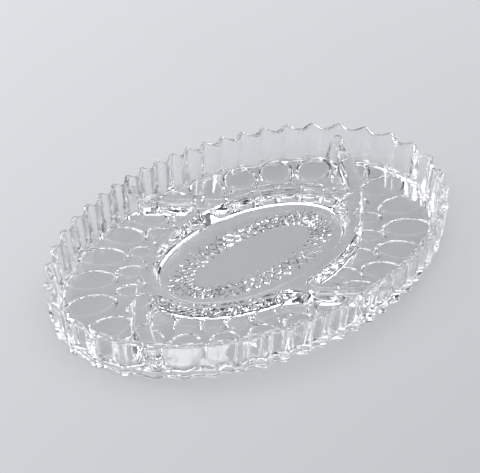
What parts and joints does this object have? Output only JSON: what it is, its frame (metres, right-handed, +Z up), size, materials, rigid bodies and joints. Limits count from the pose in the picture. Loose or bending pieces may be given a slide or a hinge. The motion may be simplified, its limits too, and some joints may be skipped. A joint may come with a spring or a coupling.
{
  "type": "relish tray",
  "caption": "Oval divided serving tray of clear pressed glass: fluted upright wall, raised central oval ring and partitions that form compartments for relishes",
  "frame": {"origin": "centre of the tray in plan, on the plane that the foot stands on", "axes": "+X along the tray's length, +Y across its width, +Z up out of the open compartments"},
  "size_m": [0.3198, 0.2136, 0.03],
  "materials": {
    "clear_glass": "clear colourless pressed glass, fire polished"
  },
  "bodies": {
    "root": {"foot_ring": "clear_glass", "left_wall": "clear_glass", "back_wall": "clear_glass", "right_wall": "clear_glass", "front_wall": "clear_glass", "centre_floor": "clear_glass", "left_floor": "clear_glass", "back_floor": "clear_glass", "right_floor": "clear_glass", "front_floor": "clear_glass", "centre_ring": "clear_glass", "left_back_partition": "clear_glass", "right_front_partition": "clear_glass", "right_back_partition": "clear_glass", "left_front_partition": "clear_glass", "diamond_band": "clear_glass"}
  },
  "joints": []
}
